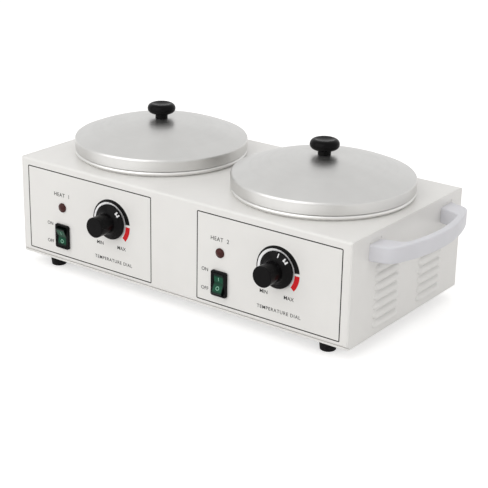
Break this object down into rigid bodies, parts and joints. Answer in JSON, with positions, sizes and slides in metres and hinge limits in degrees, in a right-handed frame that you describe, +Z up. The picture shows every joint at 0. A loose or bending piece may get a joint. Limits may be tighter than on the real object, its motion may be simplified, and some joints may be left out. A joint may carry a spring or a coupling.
{
  "type": "double wax warmer",
  "caption": "Table-top wax warmer in a painted steel casing, with lift-out aluminium pots under domed lids, a dial, rocker switch and lamp for each pot, and a handle at the right end.",
  "frame": {"origin": "on the surface that the feet stand on, under the middle of the whole warmer's length and depth", "axes": "+X along the length, to the right seen from the front; +Y to the back, so the controls face -Y; +Z up"},
  "size_m": [0.3644, 0.192, 0.1391],
  "materials": {
    "painted_steel": "satin warm-white paint",
    "rubber": "matt black rubber",
    "plated_steel": "zinc plated",
    "handle_plastic": "satin lavender-grey plastic",
    "aluminium": "satin spun aluminium",
    "heater_steel": "oxidised sheath",
    "mineral_fibre": "pressed fibre",
    "black_plastic": "gloss black phenolic",
    "thermostat_body": "matt dark phenolic",
    "copper": "drawn copper",
    "brass": "turned brass",
    "red_lens": "dark red clear plastic, unlit",
    "green_rocker": "dark green clear plastic, unlit",
    "ceramic": "unglazed white ceramic",
    "wire_sleeve": "red silicone sleeve"
  },
  "bodies": {
    "casing": {"cover": "painted_steel", "left_side_panel": "painted_steel", "right_side_panel": "painted_steel", "base_plate": "painted_steel", "front_left_foot": "rubber", "front_right_foot": "rubber", "rear_left_foot": "rubber", "rear_right_foot": "rubber", "foot_screws": "plated_steel", "foot_nuts": "plated_steel", "base_screws": "plated_steel", "handle_screws": "plated_steel", "well_rivets": "plated_steel", "clamp_nuts": "plated_steel", "thermostat_nuts": "plated_steel", "inlet_screws": "plated_steel", "terminal_screws": "plated_steel", "left_heater_clamp": "plated_steel", "right_heater_clamp": "plated_steel", "right_handle": "handle_plastic", "left_well": "aluminium", "right_well": "aluminium", "left_heater": "heater_steel", "right_heater": "heater_steel", "left_insulation_pad": "mineral_fibre", "right_insulation_pad": "mineral_fibre", "left_switch_body": "black_plastic", "right_switch_body": "black_plastic", "left_lamp_body": "black_plastic", "right_lamp_body": "black_plastic", "power_inlet": "black_plastic", "left_thermostat": "thermostat_body", "right_thermostat": "thermostat_body", "left_thermal_cutout": "thermostat_body", "right_thermal_cutout": "thermostat_body", "left_capillary": "copper", "right_capillary": "copper", "inlet_pins": "brass", "left_lamp_lens": "red_lens", "right_lamp_lens": "red_lens", "terminal_block": "ceramic", "wiring": "wire_sleeve"},
    "left_pot": {"left_pot": "aluminium"},
    "left_lid": {"left_lid": "aluminium", "left_lid_knob": "black_plastic", "left_lid_screw": "plated_steel"},
    "left_dial": {"left_thermostat_knob": "black_plastic", "left_thermostat_shaft": "plated_steel", "left_knob_set_screw": "brass"},
    "left_rocker": {"left_rocker": "green_rocker"},
    "right_pot": {"right_pot": "aluminium"},
    "right_lid": {"right_lid": "aluminium", "right_lid_knob": "black_plastic", "right_lid_screw": "plated_steel"},
    "right_dial": {"right_thermostat_knob": "black_plastic", "right_thermostat_shaft": "plated_steel", "right_knob_set_screw": "brass"},
    "right_rocker": {"right_rocker": "green_rocker"}
  },
  "joints": [
    {"name": "left_pot_lift", "type": "slide", "parent": "casing", "child": "left_pot", "axis": [0, 0, 1], "range_m": [0, 0.06]},
    {"name": "left_lid_lift", "type": "slide", "parent": "left_pot", "child": "left_lid", "axis": [0, 0, 1], "range_m": [0, 0.05]},
    {"name": "left_dial_turn", "type": "hinge", "parent": "casing", "child": "left_dial", "pos_m": [-0.07877, -0.07468, 0.06], "axis": [0, 1, 0], "range_deg": [-198, 92]},
    {"name": "left_rocker_tilt", "type": "hinge", "parent": "casing", "child": "left_rocker", "pos_m": [-0.13348, -0.07468, 0.034], "axis": [1, 0, 0], "range_deg": [-20, 0]},
    {"name": "right_pot_lift", "type": "slide", "parent": "casing", "child": "right_pot", "axis": [0, 0, 1], "range_m": [0, 0.06]},
    {"name": "right_lid_lift", "type": "slide", "parent": "right_pot", "child": "right_lid", "axis": [0, 0, 1], "range_m": [0, 0.05]},
    {"name": "right_dial_turn", "type": "hinge", "parent": "casing", "child": "right_dial", "pos_m": [0.08822, -0.07468, 0.06], "axis": [0, 1, 0], "range_deg": [-194, 96]},
    {"name": "right_rocker_tilt", "type": "hinge", "parent": "casing", "child": "right_rocker", "pos_m": [0.03352, -0.07468, 0.034], "axis": [1, 0, 0], "range_deg": [0, 20]}
  ]
}
